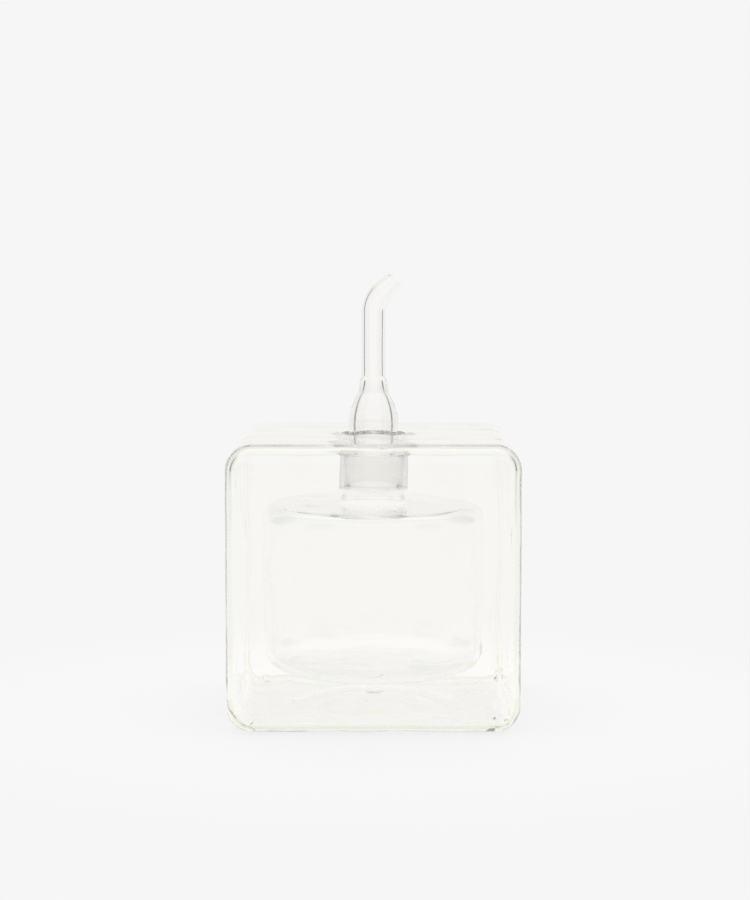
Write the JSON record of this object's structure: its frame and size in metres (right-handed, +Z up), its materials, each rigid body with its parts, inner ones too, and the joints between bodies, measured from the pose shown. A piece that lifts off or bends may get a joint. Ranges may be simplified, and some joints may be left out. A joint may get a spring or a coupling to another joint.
{
  "type": "glass oil bottle",
  "caption": "Clear double-walled glass oil bottle: a round reservoir hangs inside a rounded square jacket, with a lift-out ground-glass pourer that ends in a bent spout.",
  "frame": {"origin": "on the table, under the middle of the jacket and the neck's axis", "axes": "+Z up along the neck's axis; +X the way the spout's tip leans; the view in the picture looks along +Y"},
  "size_m": [0.1, 0.1, 0.154],
  "materials": {
    "jacket_glass": "clear fire-polished glass with a faint olive cast in its edges",
    "vessel_glass": "clear blown glass with a slightly uneven wall",
    "ground_glass": "clear glass with frosted ground taper faces",
    "pourer_glass": "clear flame-worked glass"
  },
  "bodies": {
    "bottle": {"outer_jacket": "jacket_glass", "jacket_base": "jacket_glass", "base_vent_seal": "jacket_glass", "inner_vessel": "vessel_glass", "neck_socket": "ground_glass"},
    "pourer": {"ground_plug": "ground_glass", "pourer_bulb": "pourer_glass", "spout_tube": "pourer_glass"}
  },
  "joints": [
    {"name": "pourer_lift", "type": "slide", "parent": "bottle", "child": "pourer", "axis": [0, 0, 1], "range_m": [0, 0.06]}
  ]
}
